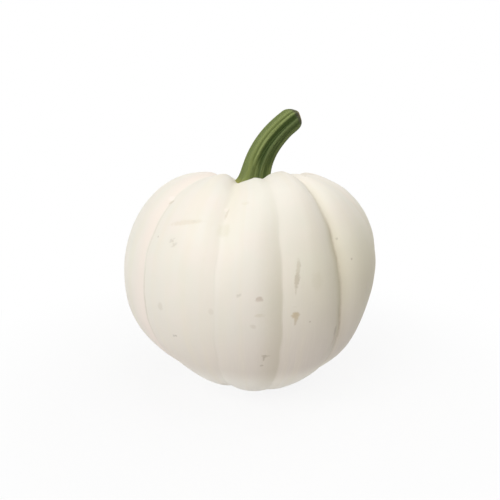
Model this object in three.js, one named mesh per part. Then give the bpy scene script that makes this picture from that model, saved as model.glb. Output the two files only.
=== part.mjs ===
import * as THREE from "three";

// A mini pumpkin: a small white ribbed fruit with a short green stem that was cut from its vine.
// Millimetres, +Z up. The front faces -Y and the origin is the middle of the spot it rests on.
// A bearing is an angle round the fruit in degrees: 0 is the front, +90 is the right (+X).

// Fruit
const widestRadius = 50.4;
const widestHeight = 51.6;
const shoulderRise = 34.5;      // from the widest ring up to the crest round the stem
const crestRadius = 22;
const restRadius = 8;           // flat spot underneath
const seatRadius = 11;          // flat floor of the hollow, under the stem
const hollowDepth = 5.5;
const lean = 2.6;               // the whole fruit leans this far to the right as it rises
const tilt = 3.5;               // the crest is this much lower at the back than at the front
const backDrop = 3;             // and its back sinks by about half of this again
const baseWidth = 1.23;         // power that shapes how the lower half widens
const baseRise = 0.88;          // power that shapes how the lower half rises
const shoulderRoundness = 1.95; // 2 is an ellipse, more is squarer
const grooveFloor = 1.5;        // half the width of a groove's round floor, in degrees

// Each groove has its bearings low down, at the widest ring, on the shoulder and at the crest,
// its depths at those places in mm, and the degrees over which it fades out on its left and
// on its right. The rib after it stands out by its swell, at the widest ring and at the crest.
const grooves = [
  { bearings: [-102, -92, -82, -82], depths: [0.8, 1.2, 1.4, 2.6], fades: [7, 7], swells: [0, 0] },
  { bearings: [-46, -50.5, -36, -36], depths: [0.1, 1.1, 1.2, 1.7], fades: [4, 12], swells: [0.4, 0.1] },
  { bearings: [-16, -15, -10, -16.5], depths: [1.1, 0.4, 2.5, 4.4], fades: [7, 8], swells: [0.2, -1.7] },
  { bearings: [16, 10.3, 11, 7], depths: [0.5, 0.6, 0.9, 2.8], fades: [5.5, 8], swells: [0.3, 0.35] },
  { bearings: [56, 37.1, 36, 35.5], depths: [0.7, 2.7, 2.7, 1.1], fades: [4.5, 4], swells: [0.5, -0.5] },
  { bearings: [84, 73, 56, 55], depths: [0.6, 1.8, 2.5, 3.2], fades: [8, 10], swells: [-0.6, -0.5] },
  { bearings: [104, 90, 84, 82], depths: [1, 1.6, 1.8, 3], fades: [7, 9], swells: [0.3, 0.4] },
  { bearings: [136, 126, 124, 122], depths: [1.2, 2, 2.4, 3.6], fades: [9, 5], swells: [0.4, -0.3] },
  { bearings: [163, 158, 159, 162], depths: [0.9, 1.1, 1.8, 2.6], fades: [6, 8], swells: [-0.4, 0.1] },
  { bearings: [192, 192, 195, 197], depths: [1.2, 1.9, 2.2, 3.4], fades: [7, 6], swells: [0.3, 0] },
  { bearings: [226, 228, 236, 238], depths: [1, 1.4, 1.6, 2.8], fades: [8, 7], swells: [-0.3, 0.2] },
];

// Places where the fruit grew fuller or flatter: bearing, way along the profile, mm out, and how
// far that spreads round the fruit in degrees and along the profile.
const bulges = [
  { bearing: -60, along: 0.23, out: -2.1, spread: 30, reach: 0.13 },
  { bearing: 20, along: 0.2, out: 1.2, spread: 30, reach: 0.12 },
  { bearing: -75, along: 0.43, out: 2.2, spread: 25, reach: 0.11 },
  { bearing: 75, along: 0.42, out: -2.1, spread: 22, reach: 0.08 },
  { bearing: 98, along: 0.735, out: -0.8, spread: 20, reach: 0.05 },
];

// The profile runs from 0, under the fruit, to 1, under the stem.
const restEnd = 0.06;
const widestAt = 0.5;
const crestAt = 0.8;
const seatStart = 0.94;

const lowerRows = 12;
const shoulderRows = 11;
const hollowRows = 6;
const columnsPerRib = 8;

// Stem
const stemGap = 0.3;            // clearance between the stem's foot and the seat
const stemPath = new THREE.CubicBezierCurve3(
  new THREE.Vector3(3.2, 0, widestHeight + shoulderRise - hollowDepth + stemGap),
  new THREE.Vector3(3.2, 0, 89),
  new THREE.Vector3(7.4, 0, 97.8),
  new THREE.Vector3(15.8, 0, 104.7),
);
const footRadius = 5.8;
const middleRadius = 5;
const tipRadius = 4.4;
const flare = 3.7;              // the foot's roots spread over the seat
const flareLength = 1.6;
const endLength = 5.7;          // the cut end closes over this length
const endSlant = 0.32;          // its upper side reaches further forward
const upperEdge = 1.5;          // roundness of the cut's edge: 2 is round, more is sharper
const lowerEdge = 4.5;
const twist = 10;               // degrees that the ridges turn by the tip
const sectionOffset = -0.04;    // keeps the ridged section about as large as a plain one
const stemRows = 22;
const stemColumns = 60;
const endAngles = [12, 24, 36, 48, 60, 72, 84];

// The stem's ridges: height as a share of the radius, and width in degrees on either side.
const ridges = [
  { bearing: -24, height: 0.13, left: 24, right: 9 },
  { bearing: -34, height: -0.02, left: 4, right: 4 },
  { bearing: -46, height: 0.03, left: 6, right: 6 },
  { bearing: 12, height: 0.05, left: 7, right: 6 },
  { bearing: 58, height: 0.12, left: 24, right: 11 },
  { bearing: 93, height: 0.05, left: 7, right: 7 },
  { bearing: 130, height: 0.13, left: 26, right: 11 },
  { bearing: 163, height: 0.05, left: 7, right: 7 },
  { bearing: 202, height: 0.13, left: 26, right: 11 },
  { bearing: 236, height: 0.05, left: 7, right: 7 },
  { bearing: 262, height: 0.13, left: 26, right: 11 },
  { bearing: 300, height: 0.04, left: 6, right: 6 },
];

const toRadians = THREE.MathUtils.degToRad;
const clamp = THREE.MathUtils.clamp;
const lerp = THREE.MathUtils.lerp;

function between(table, at) {
  // Straight-line value of a table of [place, value] pairs.
  if (at <= table[0][0]) return table[0][1];
  for (let i = 1; i < table.length; i += 1) {
    if (at <= table[i][0]) {
      return THREE.MathUtils.mapLinear(at, table[i - 1][0], table[i][0], table[i - 1][1], table[i][1]);
    }
  }
  return table[table.length - 1][1];
}

function bell(x) {
  return Math.exp(-x * x);
}

function degreesBetween(a, b) {
  return THREE.MathUtils.euclideanModulo(a - b + 180, 360) - 180;
}

function profile(along) {
  // Radius and height of the smooth fruit: flat spot, lower half, shoulder, hollow, seat.
  if (along <= restEnd) return [restRadius * along / restEnd, 0];
  if (along <= widestAt) {
    const turn = (along - restEnd) / (widestAt - restEnd) * Math.PI / 2;
    const radius = lerp(restRadius, widestRadius, Math.sin(turn) ** baseWidth);
    return [radius, widestHeight * (1 - Math.max(Math.cos(turn), 0) ** baseRise)];
  }
  if (along <= crestAt) {
    const turn = (along - widestAt) / (crestAt - widestAt) * Math.PI / 2;
    const power = 2 / shoulderRoundness;
    const radius = lerp(crestRadius, widestRadius, Math.max(Math.cos(turn), 0) ** power);
    return [radius, widestHeight + shoulderRise * Math.sin(turn) ** power];
  }
  const crestHeight = widestHeight + shoulderRise;
  if (along <= seatStart) {
    const part = (along - crestAt) / (seatStart - crestAt);
    const fall = (1 - Math.cos(Math.PI * part)) / 2;
    return [lerp(crestRadius, seatRadius, part), crestHeight - hollowDepth * fall];
  }
  return [seatRadius * (1 - along) / (1 - seatStart), crestHeight - hollowDepth];
}

function outwardAt(along) {
  // The profile's outward direction, from two points close on either side.
  const step = 0.0001;
  const [radiusBefore, heightBefore] = profile(along - step);
  const [radiusAfter, heightAfter] = profile(along + step);
  const length = Math.hypot(radiusAfter - radiusBefore, heightAfter - heightBefore);
  return [(heightAfter - heightBefore) / length, (radiusBefore - radiusAfter) / length];
}

function grooveBearing(groove, along) {
  // A curve through the low, middle and shoulder bearings, then a smooth step to the crest's.
  const [low, middle, high, crest] = groove.bearings;
  const place = (clamp(along, 0.1, crestAt) - widestAt) / 0.3;
  const curve = middle + (high - low) / 2 * place + ((high + low) / 2 - middle) * place * place;
  return curve + (crest - high) * THREE.MathUtils.smoothstep(along, 0.68, 0.85);
}

function grooveDepth(groove, along) {
  const [low, middle, high, crest] = groove.depths;
  const table = [
    [restEnd, 0], [0.16, 0.8 * low], [0.25, low], [widestAt, middle], [0.7, high], [0.82, crest],
    [0.9, 0.45 * crest], [seatStart, 0],
  ];
  return between(table, along);
}

function grooveShape(degreesAway, fade) {
  // 1 in the floor of a groove, fading out over the rib.
  return Math.exp(-(Math.hypot(degreesAway, grooveFloor) - grooveFloor) / fade);
}

function fruitPoint(along, rib, across) {
  // One point of the skin: along the profile, and across a rib from its groove to the next.
  const groove = grooves[rib];
  const next = grooves[(rib + 1) % grooves.length];
  const start = grooveBearing(groove, along);
  const width = THREE.MathUtils.euclideanModulo(grooveBearing(next, along) - start, 360);
  const bearing = start + width * across;

  const leftGroove = grooveDepth(groove, along) * grooveShape(across * width, groove.fades[1]);
  const rightGroove = grooveDepth(next, along) * grooveShape((1 - across) * width, next.fades[0]);
  const swell = groove.swells[0] * between([[restEnd, 0], [0.2, 1], [0.6, 1], [0.82, 0]], along)
    + groove.swells[1] * between([[0.6, 0], [0.82, 1], [seatStart, 0]], along);
  let out = swell * Math.sin(Math.PI * across) - Math.max(leftGroove, rightGroove);
  const bulgeStrength = clamp((along - restEnd) / 0.14, 0, 1);
  for (const bulge of bulges) {
    const sideways = bell(degreesBetween(bearing, bulge.bearing) / bulge.spread);
    out += bulge.out * bulgeStrength * sideways * bell((along - bulge.along) / bulge.reach);
  }

  const [baseRadius, baseHeight] = profile(along);
  const [outRadius, outHeight] = outwardAt(along);
  const radius = baseRadius + out * outRadius;
  const height = baseHeight + out * outHeight;
  const x = radius * Math.sin(toRadians(bearing));
  const y = -radius * Math.cos(toRadians(bearing));
  const belowWidest = 1 - clamp(height / widestHeight, 0, 1);
  const leanHere = lean * (1 - belowWidest * belowWidest);
  const risen = clamp((height - widestHeight) / shoulderRise, 0, 1.1);
  const rise = risen * clamp((seatStart - along) / 0.1, 0, 1);
  const behind = clamp(y / crestRadius, 0, 1.5);
  const drop = rise * (tilt * y / (2 * crestRadius) + backDrop * behind * behind / 2);
  return [x + leanHere, y, height - drop];
}

function closedTube(rings, startPoint, endPoint) {
  // A body through rings of points, closed by a fan at each end. The rings turn left about
  // the direction in which they follow each other.
  const columns = rings[0].length;
  const points = [...rings.flat(), startPoint, endPoint];
  const startIndex = rings.length * columns;
  const endIndex = startIndex + 1;
  const lastRing = (rings.length - 1) * columns;
  const triangles = [];
  for (let column = 0; column < columns; column += 1) {
    const next = (column + 1) % columns;
    triangles.push(startIndex, next, column);
    triangles.push(endIndex, lastRing + column, lastRing + next);
    for (let row = 0; row < rings.length - 1; row += 1) {
      const here = row * columns;
      const above = here + columns;
      triangles.push(here + column, here + next, above + next);
      triangles.push(here + column, above + next, above + column);
    }
  }
  const geometry = new THREE.BufferGeometry();
  geometry.setAttribute("position", new THREE.Float32BufferAttribute(points.flat(), 3));
  geometry.setIndex(triangles);
  geometry.computeVertexNormals();
  return geometry;
}

function spaced(from, to, count) {
  // Evenly spaced places after from, up to and including to.
  return Array.from({ length: count }, (_, i) => lerp(from, to, (i + 1) / count));
}

function fruitGeometry() {
  const places = [
    restEnd,
    ...spaced(restEnd, widestAt, lowerRows),
    ...spaced(widestAt, crestAt, shoulderRows),
    ...spaced(crestAt, seatStart, hollowRows),
  ];
  const rings = places.map((along) => {
    const ring = [];
    for (let rib = 0; rib < grooves.length; rib += 1) {
      for (let column = 0; column < columnsPerRib; column += 1) {
        ring.push(fruitPoint(along, rib, column / columnsPerRib));
      }
    }
    return ring;
  });
  return closedTube(rings, fruitPoint(0, 0, 0), fruitPoint(1, 0, 0));
}

function stemRibbing(bearing) {
  // How far the section stands out or in, as a share of its radius.
  let ribbing = sectionOffset;
  for (const ridge of ridges) {
    const aside = degreesBetween(bearing, ridge.bearing);
    ribbing += ridge.height * bell(aside / (aside < 0 ? ridge.left : ridge.right));
  }
  return ribbing;
}

function stemRing(share, closing) {
  // A ring square to the path. Closing runs from 0 on the stem's side to a quarter turn at the
  // middle of the cut end, and the ring follows a superellipse that is rounder at the top.
  const centre = stemPath.getPointAt(share);
  const direction = stemPath.getTangentAt(share);
  const distance = share * stemPath.getLength();
  const taper = between([[0, footRadius], [0.5, middleRadius], [1, tipRadius]], share);
  const spread = flare * Math.exp(-distance / flareLength);
  const ring = [];
  for (let column = 0; column < stemColumns; column += 1) {
    const bearing = column / stemColumns * 360;
    const angle = toRadians(bearing);
    const ribbing = stemRibbing(bearing - twist * share);
    const power = 2 / lerp(lowerEdge, upperEdge, (1 - Math.sin(angle)) / 2);
    const side = taper * (1 + ribbing) + spread * clamp(0.6 + 5 * ribbing, 0.2, 1.2);
    const radius = side * Math.cos(closing) ** power;
    const sideways = radius * Math.sin(angle);
    const slant = endSlant * sideways * clamp((share - 0.6) / 0.4, 0, 1) ** 2;
    const forward = endLength * Math.sin(closing) ** power - slant;
    ring.push([
      centre.x + sideways * direction.z + forward * direction.x,
      -radius * Math.cos(angle),
      centre.z - sideways * direction.x + forward * direction.z,
    ]);
  }
  return ring;
}

function stemGeometry() {
  const rings = [];
  for (let row = 0; row <= stemRows; row += 1) {
    rings.push(stemRing((row / stemRows) ** 1.3, 0));
  }
  for (const angle of endAngles) {
    rings.push(stemRing(1, toRadians(angle)));
  }
  const foot = stemPath.getPointAt(0);
  const tip = stemPath.getPointAt(1).addScaledVector(stemPath.getTangentAt(1), endLength);
  return closedTube(rings, foot.toArray(), tip.toArray());
}

const fruit = new THREE.Mesh(
  fruitGeometry(),
  new THREE.MeshStandardMaterial({ color: "#f1ecdf", roughness: 0.5, metalness: 0 }),
);
fruit.name = "fruit";

const stem = new THREE.Mesh(
  stemGeometry(),
  new THREE.MeshStandardMaterial({ color: "#6e7d41", roughness: 0.6, metalness: 0 }),
);
stem.name = "stem";

const pumpkin = new THREE.Group();
pumpkin.add(fruit, stem);
export default pumpkin;
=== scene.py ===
import math

import bpy
import numpy as np
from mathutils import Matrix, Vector


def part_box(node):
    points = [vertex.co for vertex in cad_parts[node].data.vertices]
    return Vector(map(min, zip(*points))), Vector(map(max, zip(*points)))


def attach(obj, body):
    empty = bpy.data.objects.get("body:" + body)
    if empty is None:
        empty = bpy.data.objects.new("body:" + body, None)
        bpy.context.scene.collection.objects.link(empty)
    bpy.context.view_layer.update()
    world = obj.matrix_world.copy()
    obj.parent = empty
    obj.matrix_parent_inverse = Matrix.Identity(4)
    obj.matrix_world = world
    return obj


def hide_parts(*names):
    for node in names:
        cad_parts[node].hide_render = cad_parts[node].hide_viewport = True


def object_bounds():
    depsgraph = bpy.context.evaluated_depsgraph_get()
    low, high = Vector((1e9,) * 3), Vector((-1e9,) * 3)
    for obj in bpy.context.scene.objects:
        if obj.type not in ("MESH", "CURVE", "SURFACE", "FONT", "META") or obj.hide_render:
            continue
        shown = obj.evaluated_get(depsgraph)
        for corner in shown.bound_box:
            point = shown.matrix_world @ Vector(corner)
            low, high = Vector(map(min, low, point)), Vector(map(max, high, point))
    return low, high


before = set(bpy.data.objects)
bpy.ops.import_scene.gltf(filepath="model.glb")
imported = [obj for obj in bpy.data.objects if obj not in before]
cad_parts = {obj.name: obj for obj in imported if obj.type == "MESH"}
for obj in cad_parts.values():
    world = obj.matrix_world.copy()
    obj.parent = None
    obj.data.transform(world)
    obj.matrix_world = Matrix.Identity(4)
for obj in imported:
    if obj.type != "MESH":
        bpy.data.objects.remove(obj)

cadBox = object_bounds()  # the model's box before any new piece
mm = 0.001            # shapes are worked out in millimetres and placed in metres
far = 9               # a distance at which no groove and no blemish shows
print("frame loaded, nodes:", ", ".join(sorted(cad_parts)))


def gauss(x):
    # A bell: 1 at 0, falling off as e to the power of minus x squared.
    return np.exp(-x * x)


def smoothStep(x):
    # 0 below 0, 1 above 1, and 3 x squared minus 2 x cubed between them.
    x = np.clip(x, 0, 1)
    return x * x * (3 - 2 * x)


def inBetween(a, b, share):
    # a where the share is 0, b where it is 1, and a straight line between them.
    return a + (b - a) * share


def stacked(*parts):
    # Grids or single numbers side by side in one array, such as the x, y and z of points.
    return np.stack(np.broadcast_arrays(*parts), axis=-1)


def asideOf(bearing, centre):
    # How many degrees a bearing lies to the right of a centre, from -180 to 180.
    return (bearing - centre + 180) % 360 - 180


def ripple(points, wavelength, seed):
    # Soft unevenness: the mean of eight sine waves that run in different directions through
    # the points, from -1 to 1.
    draw = np.random.default_rng(seed)
    waveCount = 8
    total = 0
    for _ in range(waveCount):
        direction = draw.normal(size=3)
        direction = direction / np.linalg.norm(direction) * draw.uniform(0.7, 1.4)
        total = total + np.sin(points @ direction * 2 * np.pi / wavelength + draw.uniform(0, 6.28))
    return total / waveCount


def fitTo(node, rings):
    # Moves and scales a shape very slightly, so that it fills its CAD node's box: a point's
    # share of the shape's own box becomes its share of the node's box.
    low, high = (np.array(corner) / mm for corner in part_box(node))
    shapeLow, shapeHigh = rings.min(axis=(0, 1)), rings.max(axis=(0, 1))
    return low + (rings - shapeLow) * (high - low) / (shapeHigh - shapeLow)


def addObject(name, data):
    # A new object in the scene, at the origin.
    thing = bpy.data.objects.new(name, data)
    bpy.context.scene.collection.objects.link(thing)
    return thing


def ringMesh(name, rings, startPoint, endPoint):
    # A closed body from a rows x columns grid of points. Each row is a ring, joined to the
    # next by four-sided faces, and a fan closes each end.
    rows, columns = rings.shape[:2]
    points = np.concatenate([rings.reshape(-1, 3), [startPoint], [endPoint]]) * mm
    column = np.arange(columns)
    beside = (column + 1) % columns
    row = np.arange(rows - 1)[:, None] * columns  # the first point of each ring
    after = row + columns
    quads = stacked(row + column, row + beside, after + beside, after + column)
    start, last = rows * columns, (rows - 1) * columns
    startFan = stacked(start, beside, column)
    endFan = stacked(start + 1, last + column, last + beside)
    faces = quads.reshape(-1, 4).tolist() + startFan.tolist() + endFan.tolist()
    mesh = bpy.data.meshes.new(name)
    mesh.from_pydata(points.tolist(), [], faces)
    mesh.update()
    mesh.polygons.foreach_set("use_smooth", [True] * len(mesh.polygons))
    return addObject(name, mesh)


def addVector(piece, name, parts, startValues, endValues):
    # Stores three numbers for each point of the piece, in the order that ringMesh puts them.
    values = np.concatenate([stacked(*parts).reshape(-1, 3), [startValues], [endValues]])
    attribute = piece.data.attributes.new(name, "FLOAT_VECTOR", "POINT")
    attribute.data.foreach_set("vector", values.ravel())


def colour(text):
    # A colour written as a web value, turned into linear light.
    parts = [int(text[i:i + 2], 16) / 255 for i in (1, 3, 5)]
    linear = [p / 12.92 if p <= 0.04045 else ((p + 0.055) / 1.055) ** 2.4 for p in parts]
    return (*linear, 1.0)


class Field:
    # A socket that can be used in sums. Each operation adds a Math node.
    def __init__(self, finish, socket):
        self.finish = finish
        self.socket = socket

    def __add__(self, other):
        return self.finish.math("ADD", self, other)

    def __radd__(self, other):
        return self.finish.math("ADD", other, self)

    def __sub__(self, other):
        return self.finish.math("SUBTRACT", self, other)

    def __rsub__(self, other):
        return self.finish.math("SUBTRACT", other, self)

    def __mul__(self, other):
        return self.finish.math("MULTIPLY", self, other)

    def __rmul__(self, other):
        return self.finish.math("MULTIPLY", other, self)


class Finish:
    # The nodes of a material, or of the world, under construction.
    def __init__(self, owner, shader="Principled BSDF", output="Material Output"):
        owner.use_nodes = True
        self.owner = owner
        self.tree = owner.node_tree
        self.shader = self.tree.nodes[shader]
        self.output = self.tree.nodes[output]

    def node(self, kind, settings, values, result=0):
        # Adds a node, sets its settings, then its inputs, and gives one of its outputs.
        node = self.tree.nodes.new(kind)
        for key, value in settings.items():
            setattr(node, key, value)
        for key, value in values.items():
            self.feed(node.inputs[key], value)
        return Field(self, node.outputs[result])

    def feed(self, socket, value):
        # Links a field to the socket, or sets a plain value on it.
        if isinstance(value, Field):
            self.tree.links.new(value.socket, socket)
        else:
            socket.default_value = value

    def surface(self, key, value):
        # Sets or links one of the main shader's sockets.
        self.feed(self.shader.inputs[key], value)

    def math(self, operation, a, b):
        # One sum on two numbers or fields.
        return self.node("ShaderNodeMath", {"operation": operation}, {0: a, 1: b})

    def larger(self, a, b):
        # The larger of two values.
        return self.math("MAXIMUM", a, b)

    def scaled(self, vector, scale):
        # Each part of the vector times the same part of the scale.
        return self.node("ShaderNodeVectorMath", {"operation": "MULTIPLY"}, {0: vector, 1: scale})

    def length(self, vector):
        # The root of the sum of the vector's squared parts.
        return self.node("ShaderNodeVectorMath", {"operation": "LENGTH"}, {0: vector}, "Value")

    def place(self):
        # The point on the object, in millimetres.
        return self.scaled(self.node("ShaderNodeTexCoord", {}, {}, "Object"), [1 / mm] * 3)

    def stored(self, name):
        # A vector that addVector stored with the piece.
        return self.node("ShaderNodeAttribute", {"attribute_name": name}, {}, "Vector")

    def parts(self, vector):
        # The vector's three parts, each a field.
        split = self.node("ShaderNodeSeparateXYZ", {}, {0: vector}).socket.node
        return [Field(self, output) for output in split.outputs]

    def noise(self, vector, scale, detail=2.0, roughness=0.5):
        # Soft noise about 0.5. Detail and roughness say how much finer noise is in it.
        return self.node("ShaderNodeTexNoise", {"noise_dimensions": "3D"},
                         {"Vector": vector, "Scale": scale, "Detail": detail,
                          "Roughness": roughness}, "Fac")

    def step(self, value, low, high):
        # 0 at low, 1 at high, smooth between them. Low may be above high.
        return self.node("ShaderNodeMapRange", {"interpolation_type": "SMOOTHSTEP"},
                         {"Value": value, "From Min": low, "From Max": high})

    def mix(self, factor, a, b):
        # Colour a where the factor is 0, and b where it is 1.
        return self.node("ShaderNodeMix", {"data_type": "RGBA"}, {0: factor, 6: a, 7: b}, 2)

    def coat(self, base, mask, layer):
        # Lays a colour over the base, where a layer is the colour and how well it covers.
        text, strength = layer
        return self.mix(mask * strength, base, colour(text))

    def bump(self, height):
        # A normal that follows a height in millimetres.
        values = {"Height": height, "Distance": mm, "Strength": 1.0}
        return self.node("ShaderNodeBump", {}, values, "Normal")

    def whiteWhereSeen(self, kind, share):
        # Mixes a plain white into what the camera, mirrors and clear things see. The share is
        # a number or a field, and the kind is the type of the white shader.
        seen = self.node("ShaderNodeLightPath", {}, {}, "Is Camera Ray")
        path = seen.socket.node
        for ray in ("Is Glossy Ray", "Is Transmission Ray"):
            seen = self.larger(seen, Field(self, path.outputs[ray]))
        shaded = Field(self, self.shader.outputs[0])
        white = self.node(kind, {}, {"Color": (1, 1, 1, 1)})
        mixed = self.node("ShaderNodeMixShader", {}, {0: seen * share, 1: shaded, 2: white})
        self.feed(self.output.inputs[0], mixed)


fruitShape = {
    # the smooth fruit, in mm
    "widestRadius": 50.4, "widestHeight": 51.6, "shoulderRise": 34.5, "crestRadius": 22.0,
    "restRadius": 8.0, "seatRadius": 11.0, "hollowDepth": 5.5,
    # powers of the profile's curves, where 1, 1 and 2 make quarters of an ellipse
    "baseWidth": 1.23, "baseRise": 0.88, "shoulderRoundness": 1.95,
    "lean": 2.6,                              # how far it leans to the right as it rises
    "tilt": 3.5, "backDrop": 3.0,             # how much lower the crest is at the back
    # places along the profile, which runs from 0 under the fruit to 1 in the hollow
    "restEnd": 0.06, "widestAt": 0.5, "crestAt": 0.8, "seatStart": 0.94,
    "restFade": 0.14, "seatFade": 0.1,        # bulges and unevenness fade in and out over these
    "profileLength": 168,                     # mm of skin from one end of it to the other
    # the grooves and the ribs between them
    "grooveFloor": 1.5,                       # half the width of a groove's round floor, in degrees
    "bendStart": 0.1,                         # a groove runs straight up to here, then bends
    "bendReach": 0.3,                         # from widestAt to its low and shoulder bearings
    "crestTurnAt": 0.68, "crestTurn": 0.17,   # where it turns to its crest bearing, and over what
    "wobble": 0.3,                            # how far it strays from its line, in degrees
    "wobbleEnd": 0.9, "wobbleFade": 0.2,      # where it no longer strays, and over what that fades
    "depthAt": (0.06, 0.16, 0.25, 0.5, 0.7, 0.82, 0.9, 0.94),  # the places of depthOf's depths
    "creaseAt": (0.16, 0.3, 0.56, 0.74),      # a crease starts, is full, starts to fade, and ends
    "creaseWidth": 0.55,                      # mm
    "swellAt": (0.06, 0.2, 0.6, 0.82),        # a rib's swell does the same
    "crestSwellAt": (0.6, 0.82, 0.94),        # it starts, is full, and ends
    # unevenness: height and length of its waves in mm, and the seed that sets them
    "wave": 0.22, "waveLength": 26, "waveSeed": 3,
    "dimple": 0.05, "dimpleLength": 7, "dimpleSeed": 8,
    # the mesh, and the drum of coordinates on which the rind's streaks are drawn
    "rowCounts": (8, 90, 84, 34, 8),          # rings in each part of the profile
    "columnsPerRib": 34, "crowding": 0.1,     # columns stand closer beside a groove
    "drumRadius": 30, "drumHeight": 10,
}

# The grooves, going round from the left side to the right. Each has its bearing low down, at
# the widest ring, on the shoulder and at the crest, in degrees from the front towards the
# right; its depth at those places, in mm; how many degrees it takes to fade out on its left
# and on its right; how far the rib after it stands out at the widest ring and at the crest;
# the depth of the fine crease along its floor; and how much painted light, tinted pink, and
# how much painted shade, tinted olive, lies on the skin on its left.
levels = ("low", "middle", "high", "crest")
grooveColumns = (*levels, "lowDepth", "middleDepth", "highDepth", "crestDepth",
                 "left", "right", "swell", "crestSwell", "crease", "pinkPaintedLight", "shade")
grooveRows = np.array([
    (-102, -92, -82, -82, 0.8, 1.2, 1.4, 2.6, 7, 7, 0.0, 0.0, 0.10, 0.3, 0.0),
    (-46, -50.5, -36, -36, 0.1, 1.1, 1.2, 1.7, 4, 12, 0.4, 0.1, 0.13, 1.0, 0.0),
    (-16, -15, -10, -16.5, 1.1, 0.4, 2.5, 4.4, 7, 8, 0.2, -1.7, 0.02, 0.2, 0.0),
    (16, 10.3, 11, 7, 0.5, 0.6, 0.9, 2.8, 5.5, 8, 0.3, 0.35, 0.02, 0.0, 0.9),
    (56, 37.1, 36, 35.5, 0.7, 2.7, 2.7, 1.1, 4.5, 4, 0.5, -0.5, 0.26, 0.0, 0.7),
    (84, 73, 56, 55, 0.6, 1.1, 2.5, 3.2, 8, 10, -0.6, -0.5, 0.18, 0.0, 1.0),
    (104, 90, 84, 82, 1.0, 1.6, 1.8, 3.0, 7, 9, 0.3, 0.4, 0.10, 0.4, 0.4),
    (136, 126, 124, 122, 1.2, 2.0, 2.4, 3.6, 9, 5, 0.4, -0.3, 0.12, 0.0, 0.3),
    (163, 158, 159, 162, 0.9, 1.1, 1.8, 2.6, 6, 8, -0.4, 0.1, 0.08, 0.5, 0.0),
    (192, 192, 195, 197, 1.2, 1.9, 2.2, 3.4, 7, 6, 0.3, 0.0, 0.12, 0.0, 0.4),
    (226, 228, 236, 238, 1.0, 1.4, 1.6, 2.8, 8, 7, -0.3, 0.2, 0.10, 0.3, 0.2),
])
grooves = dict(zip(grooveColumns, grooveRows.T))
ribCount = len(grooveRows)
bulges = [  # where the fruit grew fuller or flatter: degrees, place on the profile, and mm
    {"bearing": -60, "along": 0.23, "out": -2.1, "spread": 30, "reach": 0.13},
    {"bearing": 20, "along": 0.2, "out": 1.2, "spread": 30, "reach": 0.12},
    {"bearing": -75, "along": 0.43, "out": 2.2, "spread": 25, "reach": 0.11},
    {"bearing": 75, "along": 0.42, "out": -2.1, "spread": 22, "reach": 0.08},
    {"bearing": 98, "along": 0.735, "out": -0.8, "spread": 20, "reach": 0.05},
]


def profileOf(along):
    # Radius and height of the smooth fruit: a flat spot, a lower half whose radius follows a
    # sine and height a cosine, a shoulder that is a rounded quarter, and a hollow that falls
    # on half a cosine wave to a flat seat.
    s = fruitShape
    lower = np.clip((along - s["restEnd"]) / (s["widestAt"] - s["restEnd"]), 0, 1) * np.pi / 2
    upper = np.clip((along - s["widestAt"]) / (s["crestAt"] - s["widestAt"]), 0, 1) * np.pi / 2
    inner = np.clip((along - s["crestAt"]) / (s["seatStart"] - s["crestAt"]), 0, 1)
    power = 2 / s["shoulderRoundness"]
    rest = s["restRadius"] * along / s["restEnd"]
    lowerRadius = inBetween(s["restRadius"], s["widestRadius"], np.sin(lower) ** s["baseWidth"])
    lowerHeight = s["widestHeight"] * (1 - np.maximum(np.cos(lower), 0) ** s["baseRise"])
    upperShare = np.maximum(np.cos(upper), 0) ** power
    upperRadius = inBetween(s["crestRadius"], s["widestRadius"], upperShare)
    upperHeight = s["widestHeight"] + s["shoulderRise"] * np.sin(upper) ** power
    crestHeight = s["widestHeight"] + s["shoulderRise"]
    innerRadius = inBetween(s["crestRadius"], s["seatRadius"], inner)
    innerHeight = crestHeight - s["hollowDepth"] * (1 - np.cos(np.pi * inner)) / 2
    seat = s["seatRadius"] * (1 - along) / (1 - s["seatStart"])
    seatHeight = crestHeight - s["hollowDepth"]
    zones = [along <= s[end] for end in ("restEnd", "widestAt", "crestAt", "seatStart")]
    radius = np.select(zones, [rest, lowerRadius, upperRadius, innerRadius], seat)
    height = np.select(zones, [0 * along, lowerHeight, upperHeight, innerHeight], seatHeight)
    return radius, height


def bearingOf(index, along):
    # A groove's bearing: a curve through its low, middle and shoulder bearings, a smooth step
    # to its crest bearing, and a small wobble of two waves.
    s = fruitShape
    low, middle, high, crest = (grooves[level][index] for level in levels)
    spot = (np.clip(along, s["bendStart"], s["crestAt"]) - s["widestAt"]) / s["bendReach"]
    bearing = middle + (high - low) / 2 * spot + ((high + low) / 2 - middle) * spot ** 2
    bearing = bearing + (crest - high) * smoothStep((along - s["crestTurnAt"]) / s["crestTurn"])
    wobble = np.sin(61 * along + 2.1 * index) + np.sin(97 * along + 1.3 * index)
    calm = smoothStep((s["wobbleEnd"] - along) / s["wobbleFade"])
    return bearing + s["wobble"] / 2 * wobble * calm


def depthOf(index, along):
    # A groove's depth: straight lines between its four depths, fading to nothing at the flat
    # spot and at the seat. Each depth counts by a tent, 1 at its own place and 0 at the next.
    low, middle, high, crest = (grooves[level + "Depth"][index] for level in levels)
    depths = [0, 0.8 * low, low, middle, high, crest, 0.45 * crest, 0]
    tents = np.eye(len(depths))
    return sum(depth * np.interp(along, fruitShape["depthAt"], tent)
               for depth, tent in zip(depths, tents))


def valley(degrees, fade):
    # A groove's section: 1 at its floor, which is round, and a fading slope beside it.
    floor = fruitShape["grooveFloor"]
    return np.exp(-(np.hypot(degrees, floor) - floor) / fade)


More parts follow.
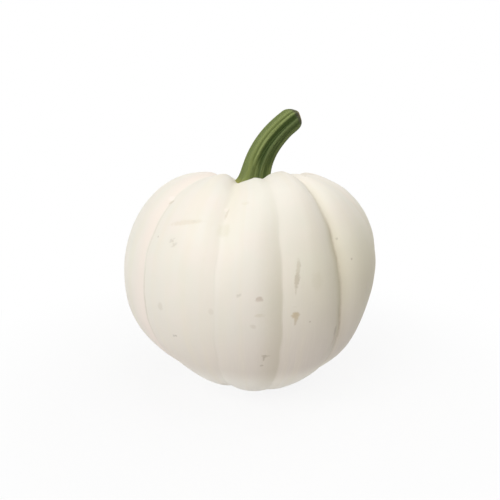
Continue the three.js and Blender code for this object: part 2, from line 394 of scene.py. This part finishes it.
def skin(along, turn):
    # The skin at each place along the profile and each turn, where turn counts the ribs
    # round the fruit, so 2.5 is the middle of the third rib. The smooth fruit moves in by
    # the deeper groove and its crease, and out by the rib's swell, the bulges and a slight
    # unevenness, along its own normal.
    s = fruitShape
    rib = np.floor(turn).astype(int) % ribCount
    following = (rib + 1) % ribCount
    across = turn - np.floor(turn)
    start = bearingOf(rib, along)
    width = (bearingOf(following, along) - start) % 360
    bearing = start + width * across
    radius, height = profileOf(along)

    # the grooves on both sides, of which the deeper one counts, and the rib between them
    leftValley = valley(across * width, grooves["right"][rib])
    rightValley = valley((1 - across) * width, grooves["left"][following])
    groove = np.maximum(depthOf(rib, along) * leftValley, depthOf(following, along) * rightValley)
    swell = grooves["swell"][rib] * np.interp(along, s["swellAt"], [0, 1, 1, 0])
    swell = swell + grooves["crestSwell"][rib] * np.interp(along, s["crestSwellAt"], [0, 1, 0])
    fromGroove = np.minimum(across, 1 - across) * np.radians(width) * radius
    beforeGroove = (1 - across) * np.radians(width) * radius
    # a crease along the nearest groove's floor, deeper in some places than in others
    nearest = np.where(across < 0.5, rib, following)
    crease = grooves["crease"][nearest] * np.interp(along, s["creaseAt"], [0, 1, 1, 0])
    crease = crease * (0.7 + 0.3 * np.sin(39 * along + 2.5 * nearest))
    out = swell * np.sin(np.pi * across) - groove - crease * gauss(fromGroove / s["creaseWidth"])
    # bulges and unevenness, both gone at the flat spot
    fade = np.clip((along - s["restEnd"]) / s["restFade"], 0, 1)
    for bulge in bulges:
        push = fade * bulge["out"] * gauss(asideOf(bearing, bulge["bearing"]) / bulge["spread"])
        out = out + push * gauss((along - bulge["along"]) / bulge["reach"])
    angle = np.radians(bearing)
    smooth = stacked(radius * np.sin(angle), -radius * np.cos(angle), height)
    uneven = s["wave"] * ripple(smooth, s["waveLength"], s["waveSeed"])
    uneven = uneven + s["dimple"] * ripple(smooth, s["dimpleLength"], s["dimpleSeed"])
    out = out + fade * smoothStep((s["seatStart"] - along) / s["seatFade"]) * uneven

    # out along the profile's normal, which comes from its slope
    step = 0.0001
    radiusBefore, heightBefore = profileOf(along - step)
    radiusAfter, heightAfter = profileOf(along + step)
    length = np.hypot(radiusAfter - radiusBefore, heightAfter - heightBefore)
    radius = radius + out * (heightAfter - heightBefore) / length
    height = height - out * (radiusAfter - radiusBefore) / length

    # over to the right as it rises, and down towards the back near the crest
    rise = np.clip(height / s["widestHeight"], 0, 1)
    x = radius * np.sin(angle) + s["lean"] * (1 - (1 - rise) ** 2)
    y = -radius * np.cos(angle)
    shoulder = np.clip((height - s["widestHeight"]) / s["shoulderRise"], 0, 1.1)
    shoulder = shoulder * np.clip((s["seatStart"] - along) / s["seatFade"], 0, 1)
    behind = np.clip(y / s["crestRadius"], 0, 1.5)
    drop = s["tilt"] * y / (2 * s["crestRadius"]) + s["backDrop"] * behind ** 2 / 2
    rings = stacked(x, y, height - shoulder * drop)
    return rings, bearing, groove, fromGroove, crease, beforeGroove


# Blemishes: bearing in degrees and place along the profile, half width and half height in mm,
# turn in degrees, colour, strength, and how far it stands out in mm.
blemishColumns = ("bearing", "along", "wide", "high", "turn", "colour", "strength", "raised")
blemishRows = [
    (-30, 0.615, 6.3, 0.8, 8, "#cdbb96", 0.26, 0.03),       # a long pale scratch with a dark core
    (-26, 0.618, 1.2, 0.40, 8, "#8a7048", 0.22, -0.04),
    (-33.7, 0.578, 0.5, 0.9, 25, "#8f7752", 0.38, -0.05),   # small hooked nick
    (-33.2, 0.573, 0.6, 0.4, -20, "#9d855c", 0.28, -0.03),
    (-12.6, 0.641, 0.4, 1.9, -12, "#b39a72", 0.25, -0.04),  # nick with a light upper end
    # the nick's light upper end is a painted highlight
    (-13.4, 0.651, 0.6, 0.8, 0, "#fff4ea", 0.50, 0.03),
    (-4.4, 0.664, 1.3, 0.7, 0, "#cfc29a", 0.16, 0.00),
    (-12.6, 0.607, 2.2, 2.0, 0, "#cbc49c", 0.20, 0.00),     # faint olive patch
    (-46.6, 0.668, 1.3, 1.0, 30, "#fff5ee", 0.50, 0.04),    # light nick at the top of a groove
    (-45.0, 0.659, 1.5, 0.5, 35, "#b39c78", 0.35, -0.03),
    (-6.3, 0.500, 0.45, 0.5, 0, "#8f8466", 0.42, -0.03),
    (1.4, 0.495, 1.2, 0.55, 2, "#9b7654", 0.42, 0.04),      # reddish-brown oval
    (-0.7, 0.453, 1.2, 0.6, -12, "#a58c66", 0.20, 0.02),
    (1.5, 0.472, 1.6, 0.5, 0, "#c0b18a", 0.28, 0.01),
    (-16.4, 0.474, 0.9, 0.9, 0, "#b5a488", 0.18, 0.00),
    (-39.4, 0.467, 1.2, 1.2, 10, "#b3a58a", 0.24, -0.02),
    (-33.0, 0.416, 0.45, 0.45, 0, "#6f5a45", 0.65, -0.04),
    (4.7, 0.388, 1.8, 0.45, -6, "#8b7450", 0.42, 0.03),     # three-armed speck with a tail
    (4.6, 0.382, 0.4, 1.5, -8, "#7d6747", 0.48, 0.03),
    (4.0, 0.361, 0.6, 0.6, 0, "#86704f", 0.45, 0.02),
    (16.0, 0.543, 0.75, 2.1, -6, "#b3a486", 0.42, 0.03),    # upright scar that ends in a dark line
    (15.2, 0.522, 0.8, 2.3, -6, "#9c8862", 0.48, 0.05),
    (15.0, 0.503, 0.3, 1.0, -3, "#a8946c", 0.30, 0.02),
    (15.2, 0.468, 1.3, 0.9, 0, "#b08f45", 0.60, 0.04),      # golden triangle, point down
    (15.4, 0.460, 0.6, 1.4, 0, "#a98a4c", 0.45, 0.03),
    (23.4, 0.518, 2.0, 2.6, 0, "#b9ae84", 0.12, 0.00),
    (36.9, 0.586, 0.45, 0.45, 0, "#8a7a58", 0.35, -0.03),
    (36.8, 0.418, 0.9, 1.8, 0, "#86735a", 0.40, 0.02),      # dark blot beside a groove
    (38.0, 0.395, 0.8, 2.0, 0, "#b78f76", 0.35, 0.00),
    (92, 0.54, 2.4, 0.8, -12, "#b39a6c", 0.45, 0.04),       # sides, back and underside
    (103, 0.43, 0.6, 0.6, 0, "#7f6a4c", 0.60, -0.03),
    (148, 0.60, 0.6, 2.6, 10, "#a58c62", 0.50, 0.04),
    (171, 0.47, 1.6, 1.1, 30, "#a98c5c", 0.50, 0.04),
    (205, 0.55, 4.2, 0.9, 12, "#c3b085", 0.45, 0.03),
    (214, 0.38, 0.8, 0.7, 0, "#8a7250", 0.55, 0.03),
    (236, 0.50, 0.7, 0.6, 0, "#8d7858", 0.55, -0.03),
    (-85, 0.44, 1.0, 0.7, 20, "#a08861", 0.45, 0.03),
    (-78, 0.57, 0.5, 1.8, -15, "#b29c74", 0.40, -0.03),
    (60, 0.30, 1.8, 1.2, 15, "#a99170", 0.45, 0.04),
    (-20, 0.22, 1.4, 1.0, -10, "#a58d6b", 0.45, 0.04),
]


def blemishesOf(bearing, along, radius):
    # The nearest blemish to each point, by a distance that is 1 on the edge of its ellipse:
    # the two parts of that distance, the strength, how far it stands out, and the colour's
    # three parts. The strength is 0 far from every blemish and where two are equally near.
    nearest = np.full(radius.shape, 3.0)  # no blemish counts further off than this
    which = np.full(radius.shape, -1)
    found = np.zeros((*radius.shape, 7))
    for index, row in enumerate(blemishRows):
        spot = dict(zip(blemishColumns, row))
        x = np.radians(asideOf(bearing, spot["bearing"])) * radius
        y = (along - spot["along"]) * fruitShape["profileLength"]
        c, s = math.cos(math.radians(spot["turn"])), math.sin(math.radians(spot["turn"]))
        aside, up = (x * c + y * s) / spot["wide"], (y * c - x * s) / spot["high"]
        distance = np.hypot(aside, up)
        closer = distance < nearest
        nearest, which = np.where(closer, distance, nearest), np.where(closer, index, which)
        mark = stacked(aside, up, spot["strength"], spot["raised"], *colour(spot["colour"])[:3])
        found = np.where(closer[..., None], mark, found)
    between = np.zeros(radius.shape, dtype=bool)
    for down in (-1, 0, 1):
        for right in (-1, 0, 1):
            between = between | (np.roll(which, (down, right), axis=(0, 1)) != which)
    found[between & (nearest > 1.2) | (which < 0), 2] = 0
    return np.moveaxis(found, -1, 0)


def buildFruit():
    # Six vectors go with the skin for its finish. "furrow" holds the distance from the
    # nearest groove, the depth of its crease and the depth of the groove here, in mm.
    # "band" holds the distance to the groove on the right, in mm, how much pink painted light
    # (above 0) or olive painted shade (below 0) lies beside it, and the place along the profile.
    # "grain" holds a point on a drum, turned with the ribs, so noise in it follows them.
    # "blemish", "tint" and "relief" come from blemishesOf.
    s = fruitShape
    # rings from the flat spot over the shoulder into the hollow, and columns rib by rib
    ends = (0, s["restEnd"], s["widestAt"], s["crestAt"], s["seatStart"], 1)
    along = np.concatenate([np.linspace(low, high, count)[1:]
                            for low, high, count in zip(ends, ends[1:], s["rowCounts"])])
    along = along[:-1, None]  # the last ring would shrink to the end point
    share = np.arange(s["columnsPerRib"]) / s["columnsPerRib"]
    share = share - s["crowding"] * np.sin(2 * np.pi * share)
    turn = (np.arange(ribCount)[:, None] + share).reshape(1, -1)
    rings, bearing, groove, fromGroove, crease, beforeGroove = skin(along, turn)
    rings = fitTo("fruit", rings)
    fruit = ringMesh("fruit_skin", rings, rings[0].mean(axis=0), rings[-1].mean(axis=0))

    addVector(fruit, "furrow", (fromGroove, crease, groove), (far, 0, 0), (far, 0, 0))
    following = (np.floor(turn).astype(int) + 1) % ribCount
    tone = grooves["pinkPaintedLight"][following] - grooves["shade"][following]
    addVector(fruit, "band", (beforeGroove, tone, along), (far, 0, 0), (far, 0, 1))
    angle = turn * 2 * np.pi / ribCount
    drum = [s["drumRadius"] * part for part in (np.sin(angle), np.cos(angle))]
    addVector(fruit, "grain", (*drum, s["drumHeight"] * along), (0, 0, 0), (0, 0, s["drumHeight"]))
    reach = np.hypot(rings[..., 0] - s["lean"], rings[..., 1])
    aside, up, strength, raised, *tint = blemishesOf(bearing, along, reach)
    addVector(fruit, "blemish", (aside, up, strength), (far, 0, 0), (far, 0, 0))
    addVector(fruit, "tint", tint, (0, 0, 0), (0, 0, 0))
    addVector(fruit, "relief", (raised, 0, 0), (0, 0, 0), (0, 0, 0))
    return fruit


rindLook = {
    "ivory": "#f1ece0",
    # layers over it, each with its colour and how well it covers
    "pinkPatches": ("#f3e8dd", 0.45), "coolClouds": ("#ecebdd", 0.45),
    "rightSide": ("#ece2c4", 0.6), "crown": ("#e6e2b8", 0.65),
    # painted shade low down and on the far right, and painted bounce light under the fruit
    "lowerShade": ("#d7ccc1", 1.0), "farRightShade": ("#bdb394", 0.7), "underside": ("#fbf6ee", 0.65),
    "strawStreaks": ("#ece2c4", 0.16), "pinkLines": ("#f3e8dd", 0.10),
    # painted shade in the deep grooves and along their creases
    "furrow": ("#dccfa6", 0.25), "crease": ("#a08a6a", 1.0),
    # pink painted light, painted shade and olive painted shade beside the grooves
    "pinkPaintedLight": ("#f7e8df", 0.5), "shade": ("#bdb394", 0.35), "olive": ("#b8ae86", 1.5),
    "dots": ("#8d7453", 0.3), "blemishStrength": 0.75,
    # how fine each pattern is, in waves per mm
    "patchScale": 0.028, "cloudScale": 0.09, "streakScale": 0.35, "lineScale": 3.2,
    "frayScale": 0.9, "breakScale": 0.22, "raggedScale": 0.8, "dotScale": 0.14,
    # the dry scar underneath: its radius along the profile, colours and strength
    "scarRadius": 0.042, "cork": "#8d7453", "corkDark": "#5e4a33", "scarStrength": 0.9,
    # gloss, and the depth in mm of the fine relief
    "roughness": 0.42, "specular": 0.4,
    "poreScale": 1.1, "poreDepth": 0.014, "grainScale": 3.5, "grainDepth": 0.008,
    "streakDepth": 0.02, "crustScale": 1.2, "crustDepth": 0.5,
}


def rindFinish():
    # Ivory, with one thin layer of colour after another over it, some of them painted light and
    # shade, and a fine relief.
    f = Finish(bpy.data.materials.new("ivory rind"))
    look = rindLook
    place, grain = f.place(), f.stored("grain")
    x, _, z = f.parts(place)
    away, crease, groove = f.parts(f.stored("furrow"))
    before, tone, along = f.parts(f.stored("band"))

    # pinker and cooler patches
    broad = f.step(f.noise(place, look["patchScale"], 2), 0.38, 0.62)
    cloudy = f.step(f.noise(place, look["cloudScale"], 3), 0.35, 0.65)
    base = f.coat(colour(look["ivory"]), broad, look["pinkPatches"])
    base = f.coat(base, cloudy, look["coolClouds"])
    # a yellower right side and crown; painted shade low down and far right; painted bounce light
    # below
    # the right side's yellow is partly its own colour and partly painted shade
    base = f.coat(base, f.step(x, -4, 34) * f.step(z, 90, 50), look["rightSide"])
    base = f.coat(base, f.step(along, 0.80, 0.93), look["crown"])
    # painted shade on the far right
    farRightShade = f.step(x, 34, 52) * f.step(z, 82, 48)
    # painted shade over the lower part, stronger towards the right
    low = f.step(z, 66, 18) * f.step(z, 8, 22) * (f.step(x, -40, 30) * 0.45 + 0.5)
    base = f.coat(base, low, look["lowerShade"])
    base = f.coat(base, farRightShade, look["farRightShade"])
    # painted bounce light from the table, which lightens the underside
    base = f.coat(base, f.step(z, 22, 9), look["underside"])
    # streaks and fine lines that follow the ribs
    streaks = f.noise(f.scaled(grain, (1, 1, 0.6)), look["streakScale"], 3)
    fine = f.noise(f.scaled(grain, (1, 1, 0.8)), look["lineScale"], 2)
    base = f.coat(base, f.step(streaks, 0.42, 0.72), look["strawStreaks"])
    base = f.coat(base, f.step(fine, 0.55, 0.25), look["pinkLines"])
    # the grooves, darker and yellower where deep, and a broken dark line along their creases: painted
    # shade
    frayed = f.noise(place, look["frayScale"], 3) - 0.5
    base = f.coat(base, f.step(groove, 0.8, 4.0), look["furrow"])
    broken = f.step(f.noise(place, look["breakScale"], 2), 0.38, 0.62)
    line = f.step(away + frayed * 0.8, 0.9, 0.1) * crease * (broken * 0.5 + 1.1)
    base = f.coat(base, line, look["crease"])
    # the skin left of a groove: a band of pink painted light or painted shade; olive painted shade by
    # a crease
    beside = f.step(before + frayed * 2, 10.0, 1.0) * f.step(before, 0.1, 0.8)
    base = f.coat(base, beside * f.larger(tone, 0.0), look["pinkPaintedLight"])
    lasting = f.step(along, 0.20, 0.32) * f.step(along, 0.66, 0.46)
    shadeShare = f.larger(tone * -1, 0.0)
    base = f.coat(base, beside * lasting * shadeShare, look["shade"])
    # olive painted shade close to the crease on a groove's left
    close = f.step(before + frayed, 4.5, 0.2) * f.step(along, 0.20, 0.32)
    close = close * f.step(along, 0.80, 0.70)
    base = f.coat(base, close * shadeShare * crease, look["olive"])

    # blemishes with ragged edges
    ragged = f.noise(place, look["raggedScale"], 3, 0.6) * 1.2 - 0.6
    blemish = f.stored("blemish")
    strength = f.parts(blemish)[2]
    distance = f.length(f.scaled(blemish, (1, 1, 0)))
    mark = f.step(distance + ragged, 1.35, 0.55)
    base = f.mix(mark * strength * look["blemishStrength"], base, f.stored("tint"))
    # tiny dots in some of the cells of a Voronoi pattern
    spots = {"Vector": place, "Scale": look["dotScale"]}
    cells = f.node("ShaderNodeTexVoronoi", {}, spots)
    luck = f.node("ShaderNodeTexVoronoi", {}, spots, "Color")
    chosen = f.step(f.parts(luck)[0], 0.80, 0.84)
    base = f.coat(base, f.step(cells, 0.075, 0.03) * chosen, look["dots"])
    # the dry scar where the flower was, underneath
    edge = look["scarRadius"]
    scar = f.step(along + ragged * 0.006, edge + 0.004, edge - 0.004)
    corkTone = f.mix(f.noise(place, 1.5, 4), colour(look["cork"]), colour(look["corkDark"]))
    base = f.mix(scar * look["scarStrength"], base, corkTone)
    f.surface("Base Color", base)

    f.surface("Roughness", f.noise(place, 0.35, 3) * 0.16 + scar * 0.25 + look["roughness"])
    f.surface("Specular IOR Level", look["specular"])
    pores = f.noise(place, look["poreScale"], 2) * look["poreDepth"]
    fineGrain = f.noise(place, look["grainScale"], 2) * look["grainDepth"]
    crust = scar * f.noise(place, look["crustScale"], 4) * look["crustDepth"]
    stands = f.parts(f.stored("relief"))[0] * mark
    relief = pores + fineGrain + streaks * look["streakDepth"] + stands + crust
    f.surface("Normal", f.bump(relief))
    return f.owner


stemShape = {
    # the curve's two ends and the two points that pull it: x and z in mm
    "foot": (3.2, 80.2), "footPull": (3.2, 89.0), "tipPull": (7.4, 97.8), "tip": (15.8, 104.7),
    "footRadius": 5.8, "middleRadius": 5.0, "tipRadius": 4.4,
    "flare": 5.7, "flareLength": 1.6,       # the roots that spread over the fruit
    "endLength": 5.7, "endSlant": 0.32,     # the cut end, which leans forward at its upper side
    "upperEdge": 1.5, "lowerEdge": 4.5,     # 2 is a round edge of the cut, more is a sharper one
    "twist": 10, "toneTurn": 4,             # degrees that ridges and colours turn by the tip
    "toneStart": 0.24, "toneChange": 0.2,   # where the foot's colours change, and over what
    "sectionOffset": -0.04,                 # keeps the section about as large as a plain one
    "fibreHeight": 0.05,
    "drumRadius": 5,                        # of the drum that carries the fibres' noise
    "rows": 120, "endRows": 30, "columns": 240,
    "crowding": 1.3,                        # rows stand closer at the foot
}

# The stem's ridges: bearing in degrees, height as a share of the radius, and how many degrees
# wide each is on its left and on its right.
stemRidges = [
    (-24, 0.13, 24, 9), (-34, -0.02, 4, 4), (-46, 0.03, 6, 6), (12, 0.05, 7, 6), (58, 0.12, 24, 11),
    (93, 0.05, 7, 7), (130, 0.13, 26, 11), (163, 0.05, 7, 7), (202, 0.13, 26, 11), (236, 0.05, 7, 7),
    (262, 0.13, 26, 11), (300, 0.04, 6, 6),
]

# The stem's colours round its section: the bearing; how light it is near the foot and further
# up, from 0, deep green, to 1, partly its own green and partly painted light on the lit left and
# painted shade on the right; and how grey (above 0) or ochre (below 0) it is.
stemTones = np.array([
    (-120, 0.70, 0.65, 0.0), (-90, 0.66, 0.60, 0.0), (-64, 0.62, 0.52, 0.0), (-52, 0.76, 0.77, 0.0),
    (-44, 0.82, 0.97, 0.0), (-39, 0.84, 0.98, -0.2), (-33, 0.90, 0.50, -0.8), (-27, 0.68, 0.12, -0.7),
    (-20, 0.50, 1.10, 0.0), (-16, 0.54, 1.06, 0.0), (-12, 0.48, 0.53, 0.0), (-8, 0.57, 0.12, 0.0),
    (-3, 0.56, 0.00, 0.0), (3, 0.42, 0.00, 0.0), (8, 0.10, -0.03, 0.0), (12, 0.10, -0.07, 0.2),
    (16, 0.58, 0.28, 0.9), (20, 1.03, 0.49, 1.0), (25, 0.66, 0.34, 0.6), (31, 0.12, 0.17, 0.2),
    (38, 0.16, 0.14, 0.2), (46, 0.30, 0.02, 0.3), (54, 1.12, 0.51, 0.4), (64, 0.95, 0.45, 0.4),
    (80, 0.45, 0.15, 0.0), (93, 0.35, 0.30, 0.7), (110, 0.12, 0.10, 0.0), (130, 0.40, 0.35, 0.5),
    (146, 0.12, 0.08, 0.0), (163, 0.30, 0.25, -0.5), (180, 0.20, 0.15, 0.0), (202, 0.55, 0.50, 0.2),
    (220, 0.45, 0.40, 0.0),
]).T


def stemCentre(share):
    # A four-point curve in the x-z plane, and its direction.
    a, b, c, d = (np.array(stemShape[key]) for key in ("foot", "footPull", "tipPull", "tip"))
    t = share[:, None]
    point = a * (1 - t) ** 3 + 3 * b * (1 - t) ** 2 * t + 3 * c * (1 - t) * t ** 2 + d * t ** 3
    along = 3 * (b - a) * (1 - t) ** 2 + 6 * (c - b) * (1 - t) * t + 3 * (d - c) * t ** 2
    return point, along / np.linalg.norm(along, axis=1, keepdims=True)


def stemRibbing(bearing):
    # How far the section stands out or in, as a share of its radius: a sum of bells, each
    # with its own width on either side.
    ribbing = stemShape["sectionOffset"]
    for ridge, height, left, right in stemRidges:
        aside = asideOf(bearing, ridge)
        ribbing = ribbing + height * gauss(aside / np.where(aside < 0, left, right))
    return ribbing


def buildStem():
    # A ribbed ring is carried along the curve. It tapers, spreads into roots at the foot, and
    # closes at the tip on a quarter of a superellipse that is rounder at the upper side.
    s = stemShape
    share = np.linspace(0, 1, s["rows"]) ** s["crowding"]
    centre, along = stemCentre(share)
    distance = np.append(0, np.cumsum(np.linalg.norm(np.diff(centre, axis=0), axis=1)))
    closing = np.linspace(0, np.pi / 2, s["endRows"] + 1)[1:]
    # the rows of the cut end all start from the curve's last point
    repeat = [1] * (s["rows"] - 1) + [s["endRows"] + 1]
    centre, along = np.repeat(centre, repeat, axis=0), np.repeat(along, repeat, axis=0)
    distance = np.repeat(distance, repeat)[:, None]
    closing = np.append(np.zeros(s["rows"]), closing)[:, None]
    way = distance / distance[-1]

    angle = np.arange(s["columns"])[None] * 2 * np.pi / s["columns"]
    bearing = np.degrees(angle) - s["twist"] * way
    ribbing = stemRibbing(bearing)
    turn = np.radians(bearing)
    # fine fibres, 23 and 37 round the section, which waver as they rise
    fibres = np.cos(23 * turn + 1.5 * np.sin(distance / 7))
    fibres = fibres + np.cos(37 * turn + 2 + 1.2 * np.sin(distance / 5))
    taper = np.interp(way, [0, 0.5, 1], [s["footRadius"], s["middleRadius"], s["tipRadius"]])
    radius = taper * (1 + ribbing) + s["fibreHeight"] * fibres
    # roots that fade out up the stem, widest under the ridges
    roots = s["flare"] * np.exp(-distance / s["flareLength"])
    radius = radius + roots * np.clip(0.6 + 5 * ribbing, 0.2, 1.2)
    # the rounded, slanting cut end
    power = 2 / inBetween(s["lowerEdge"], s["upperEdge"], (1 - np.sin(angle)) / 2)
    radius = radius * np.maximum(np.cos(closing), 0) ** power
    aside = radius * np.sin(angle)
    forward = s["endLength"] * np.sin(closing) ** power
    forward = forward - s["endSlant"] * aside * np.clip((way - 0.6) / 0.4, 0, 1) ** 2
    x = centre[:, :1] + aside * along[:, 1:] + forward * along[:, :1]
    z = centre[:, 1:] - aside * along[:, :1] + forward * along[:, 1:]
    rings = stacked(x, -radius * np.cos(angle), z)
    stem = ringMesh("stem_body", rings[:-1], rings[0].mean(axis=0), rings[-1].mean(axis=0))

    # "straight" holds a point on a drum, which unrolls the twisted stem for its fibres, and
    # the distance along it. "tone" holds how light it is, painted light and shade included, how
    # grey or ochre, and how far its end has closed. The last row is the end point, so it is left off.
    drum = s["drumRadius"]
    unrolled = (drum * np.cos(turn[:-1]), drum * np.sin(turn[:-1]), distance[:-1])
    addVector(stem, "straight", unrolled, (drum, 0, 0), (drum, 0, distance[-1, 0]))
    # the colours turn the other way as they rise, and change from the foot's to the upper ones
    places = np.degrees(angle) + s["toneTurn"] * way
    low, high, grey = (np.interp(places, stemTones[0], column, period=360)
                       for column in stemTones[1:])
    tone = inBetween(low, high, smoothStep((way - s["toneStart"]) / s["toneChange"]))
    addVector(stem, "tone", (tone[:-1], grey[:-1], closing[:-1]), (0.5, 0, 0), (0.5, 0, np.pi / 2))
    return stem


stemLook = {
    # the green in painted shade and in painted light
    "deep": "#354612", "light": "#859157",
    # layers over these two, each with its colour and how well it covers
    "streaks": ("#626d30", 0.4), "pale": ("#748560", 0.22), "ochre": ("#6f7834", 0.4),
    "hairs": ("#354612", 0.15), "foot": ("#a5a359", 0.8), "rim": ("#4a4538", 0.7),
    "cut": "#b3a179", "cutDark": "#85704b",
    # how fine the fibres are in waves per mm, gloss, and the depth of the relief in mm
    "threadScale": 1.5, "strandScale": 0.55, "hairScale": 4.0,
    "roughness": 0.55, "specular": 0.25,
    "threadDepth": 0.16, "hairDepth": 0.05, "grainDepth": 0.03,
}


def stemFinish():
    # Deep green flanks in painted shade and lighter ones in painted light, by the stored tone,
    # under fibres and a dry cut end.
    f = Finish(bpy.data.materials.new("green stem"))
    look = stemLook
    place, straight = f.place(), f.stored("straight")
    distance = f.parts(straight)[2]
    tone, grey, closing = f.parts(f.stored("tone"))

    # fibres: noise drawn out along the stem
    threads = f.noise(f.scaled(straight, (1, 1, 0.05)), look["threadScale"], 3, 0.6)
    strands = f.noise(f.scaled(straight, (1, 1, 0.09)), look["strandScale"], 2)
    hairs = f.noise(f.scaled(straight, (1, 1, 0.12)), look["hairScale"], 2)
    # flanks in painted light and painted shade, with streaks and with lines on the ridges
    litShare = tone + (threads - 0.5) * (tone * 0.9 + 0.1) + (strands - 0.5) * tone * 0.4
    base = f.mix(litShare, colour(look["deep"]), colour(look["light"]))
    base = f.coat(base, f.step(threads, 0.52, 0.62) * tone, look["streaks"])
    # paler, greyer lines on some ridges, partly painted highlights where the ridges catch light
    base = f.coat(base, f.larger(grey, 0.0), look["pale"])
    base = f.coat(base, f.larger(grey * -1, 0.0), look["ochre"])
    base = f.coat(base, f.step(hairs, 0.60, 0.75), look["hairs"])
    spread = f.step(distance + (strands - 0.5) * 3, 3.5, 0.5)
    base = f.coat(base, spread, look["foot"])
    # the cut end: a dark rim round a dry, paler face
    face = f.step(closing, 1.0, 1.08)
    rim = f.step(closing, 0.50, 0.70)
    cutTone = f.mix(f.noise(place, 1.2, 4), colour(look["cut"]), colour(look["cutDark"]))
    base = f.coat(base, rim, look["rim"])
    base = f.mix(face, base, cutTone)
    f.surface("Base Color", base)

    f.surface("Roughness", threads * 0.2 + face * 0.2 + look["roughness"])
    f.surface("Specular IOR Level", look["specular"])
    speckle = f.noise(place, 2.5, 3) * look["grainDepth"]
    f.surface("Normal", f.bump(threads * look["threadDepth"] + hairs * look["hairDepth"] + speckle))
    return f.owner


fruit = buildFruit()
fruit.data.materials.append(rindFinish())
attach(fruit, "root")
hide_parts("fruit")
print("fruit made:", len(fruit.data.polygons), "faces")

stem = buildStem()
stem.data.materials.append(stemFinish())
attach(stem, "root")
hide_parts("stem")
print("stem made:", len(stem.data.polygons), "faces")


studio = {
    # the camera: its aim and distance in mm, its bearing and elevation in degrees
    "aim": (1.26, 0.0, 54.25), "distance": 199.7, "bearing": -0.3, "elevation": 13.2,
    "lens": 35.0, "sensor": 36,
    "worldStrength": 0.08,
    "floorReach": 6.0,                      # metres from the middle to each side
    "floorColour": "#f0f0f0", "floorRoughness": 0.9,
    "floorWhite": 0.88,                     # share of plain white in it close to the object
    "shadowNear": 55, "shadowFar": 160,     # mm over which it turns wholly white
    "lamps": [  # name, bearing from the front, height angle, distance and width in metres, watts
        ("key", -40, 32, 0.9, 0.7, 4.05),
        ("wide", -25, 40, 1.0, 1.6, 2.5),
        ("fill", 60, 60, 0.9, 0.7, 1.5),
        ("top", 0, 90, 0.9, 0.7, 2.1),
        ("back", 130, 40, 0.9, 0.7, 1.4),
    ],
}


def buildFloor():
    # A flat square under the object. It takes a shadow near the object, and turns plain white
    # further away.
    reach, low = studio["floorReach"], cadBox[0][2]
    corners = [(x * reach, y * reach, low) for x, y in ((-1, -1), (1, -1), (1, 1), (-1, 1))]
    mesh = bpy.data.meshes.new("floor")
    mesh.from_pydata(corners, [], [(0, 1, 2, 3)])
    floor = addObject("floor", mesh)
    f = Finish(bpy.data.materials.new("white table"))
    f.surface("Base Color", colour(studio["floorColour"]))
    f.surface("Roughness", studio["floorRoughness"])
    plain = f.step(f.length(f.place()), studio["shadowNear"], studio["shadowFar"])
    share = plain * (1 - studio["floorWhite"]) + studio["floorWhite"]
    f.whiteWhereSeen("ShaderNodeEmission", share)
    mesh.materials.append(f.owner)


def buildWorld():
    # A faint even light from all round, which looks plain white.
    f = Finish(bpy.data.worlds.new("studio"), "Background", "World Output")
    f.surface("Color", (1, 1, 1, 1))
    f.surface("Strength", studio["worldStrength"])
    f.whiteWhereSeen("ShaderNodeBackground", 1.0)
    bpy.context.scene.world = f.owner


def standAround(name, data, aim, bearing, lift, distance):
    # Puts a lamp or camera at a distance from its aim, by a bearing from the front and a
    # height angle, and turns it to face the aim.
    b, e = math.radians(bearing), math.radians(lift)
    away = np.array([math.sin(b) * math.cos(e), -math.cos(b) * math.cos(e), math.sin(e)])
    place = aim + distance * away
    thing = addObject(name, data)
    thing.location = place
    thing.rotation_euler = (Vector(aim) - Vector(place)).to_track_quat("-Z", "Y").to_euler()
    return thing


def buildLamp(name, bearing, lift, distance, size, power):
    # A round soft lamp that faces the middle of the object.
    lamp = bpy.data.lights.new(name, "AREA")
    lamp.shape = "DISK"
    lamp.size = size
    lamp.energy = power
    middle = (np.array(cadBox[0]) + np.array(cadBox[1])) / 2
    standAround(name, lamp, middle, bearing, lift, distance)


def buildCamera():
    # The camera at the studio's bearing and elevation, facing its aim.
    data = bpy.data.cameras.new("camera")
    data.lens = studio["lens"]
    data.sensor_width = studio["sensor"]
    data.clip_start = 0.01
    aim = np.array(studio["aim"]) * mm
    bpy.context.scene.camera = standAround("camera", data, aim, studio["bearing"],
                                           studio["elevation"], studio["distance"] * mm)


buildFloor()
buildWorld()
for lamp in studio["lamps"]:
    buildLamp(*lamp)
buildCamera()
bpy.context.scene.view_settings.view_transform = "Standard"
print("studio made")

bpy.context.view_layer.update()
